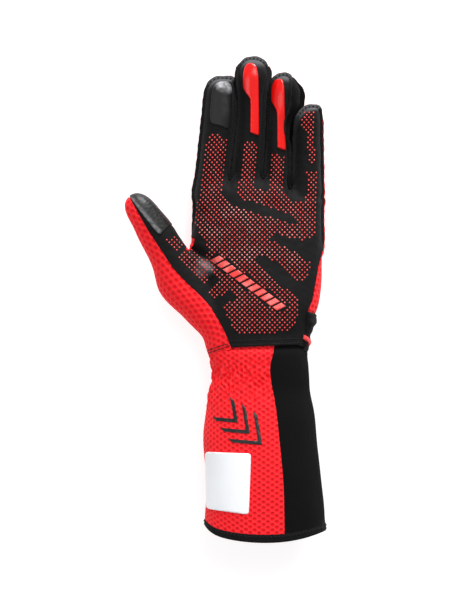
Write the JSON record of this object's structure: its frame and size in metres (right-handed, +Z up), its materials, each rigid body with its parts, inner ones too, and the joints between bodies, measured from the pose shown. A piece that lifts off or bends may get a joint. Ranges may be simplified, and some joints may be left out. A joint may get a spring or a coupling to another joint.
{
  "type": "karting glove",
  "caption": "Left-hand karting glove lying palm up, with a long flared cuff, mesh back, suede palm and raised patches on the fingertips.",
  "frame": {"origin": "centre of the glove's footprint on the surface it lies on", "axes": "+X from the thumb side to the little-finger side, +Y towards the fingertips, +Z up out of the palm"},
  "size_m": [0.1418, 0.3408, 0.0594],
  "materials": {
    "suede": "brushed black suede with a red dot print",
    "red_mesh": "red spacer mesh with round dimples",
    "touch_patch": "smooth black touch film with a soft gloss",
    "silicone": "glossy red moulded silicone",
    "stretch_knit": "black ribbed stretch knit",
    "binding": "black woven edge binding",
    "white_panel": "smooth satin white film",
    "red_tape": "red woven tape"
  },
  "bodies": {
    "root": {"palm_panel": "suede", "back_panel": "red_mesh", "fourchette_index_middle": "stretch_knit", "fourchette_middle_ring": "stretch_knit", "fourchette_ring_little": "stretch_knit", "index_tip_patch": "touch_patch", "thumb_tip_patch": "touch_patch", "middle_grip": "silicone", "ring_grip": "silicone", "cuff_sleeve": "red_mesh", "cuff_stretch_panel": "stretch_knit", "hem_binding": "binding", "number_panel": "white_panel", "wrist_strap": "stretch_knit", "strap_tab": "red_tape"}
  },
  "joints": []
}
